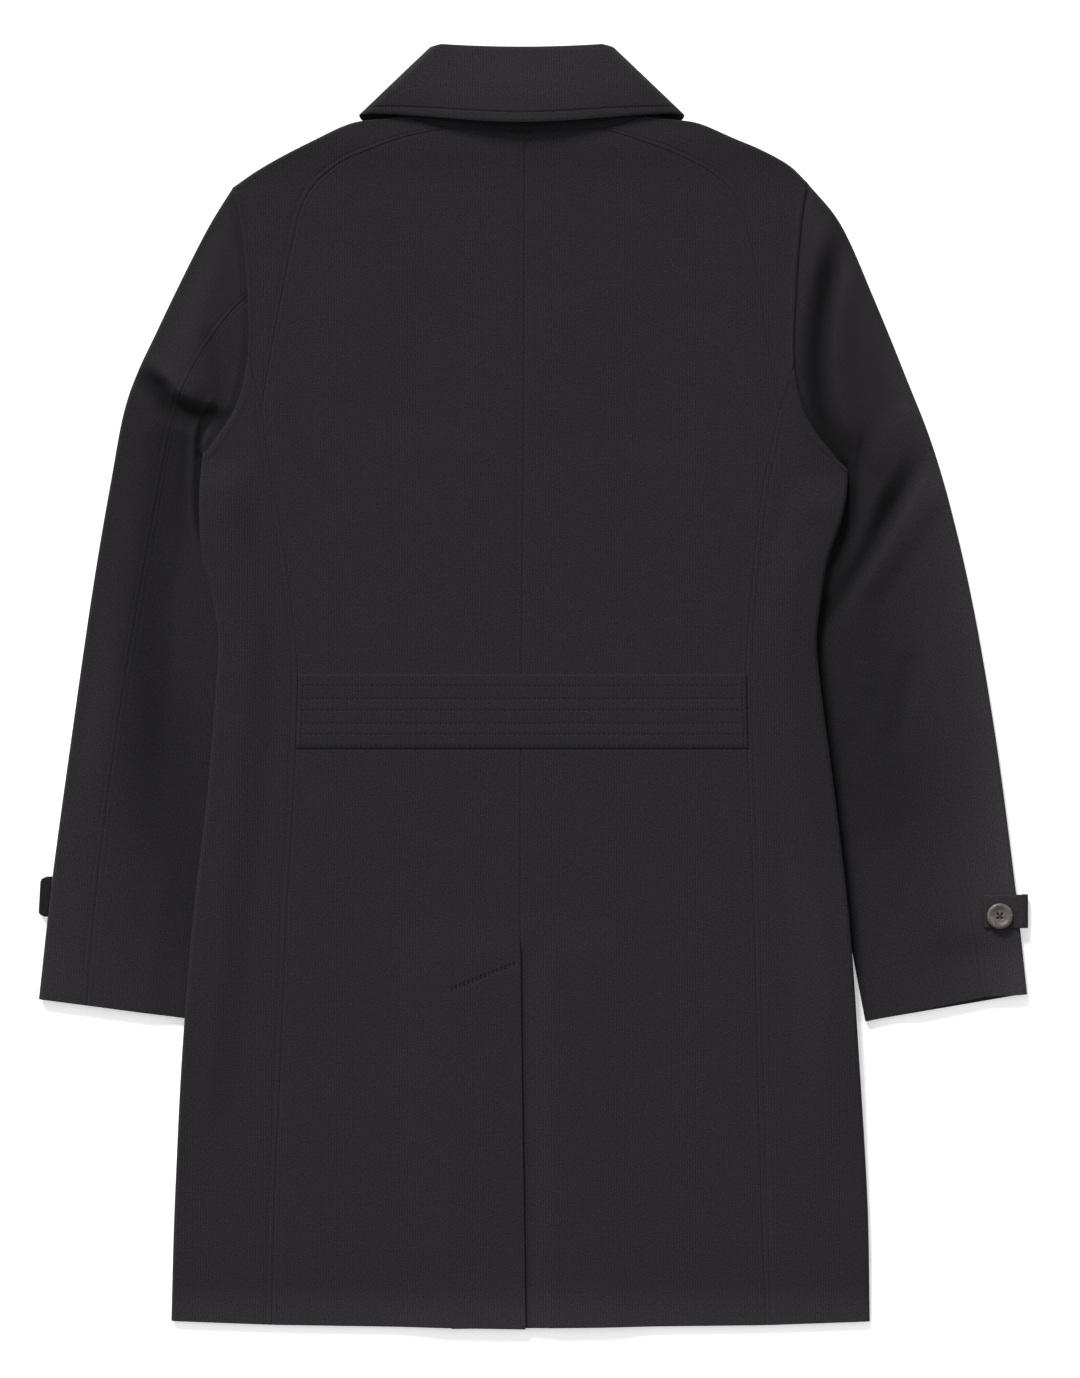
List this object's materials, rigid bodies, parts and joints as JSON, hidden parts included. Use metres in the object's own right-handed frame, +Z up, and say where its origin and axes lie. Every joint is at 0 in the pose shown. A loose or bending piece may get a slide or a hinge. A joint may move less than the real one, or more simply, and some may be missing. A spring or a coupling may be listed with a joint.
{
  "type": "overcoat",
  "caption": "Three-quarter-length wool overcoat laid flat with its back up: folded collar, curved yoke, row-stitched half belt, centre vent and tabbed cuffs.",
  "frame": {"origin": "middle of the coat's overall box, on the surface that it lies on", "axes": "+X to the wearer's right, +Y to the collar, +Z up out of the back"},
  "size_m": [0.7932, 1.0286, 0.0147],
  "materials": {
    "wool_cloth": "near-black charcoal wool with a fine upright rib and a short nap",
    "horn_button": "satin grey-brown horn"
  },
  "bodies": {
    "root": {"back_left": "wool_cloth", "back_right": "wool_cloth", "side_back_left": "wool_cloth", "side_back_right": "wool_cloth", "yoke_left": "wool_cloth", "yoke_right": "wool_cloth", "front_left": "wool_cloth", "front_right": "wool_cloth", "top_sleeve_left": "wool_cloth", "top_sleeve_right": "wool_cloth", "under_sleeve_left": "wool_cloth", "under_sleeve_right": "wool_cloth", "collar_fall": "wool_cloth", "collar_stand": "wool_cloth", "half_belt": "wool_cloth", "cuff_tab_left": "wool_cloth", "cuff_tab_right": "wool_cloth", "cuff_button_right": "horn_button"}
  },
  "joints": []
}
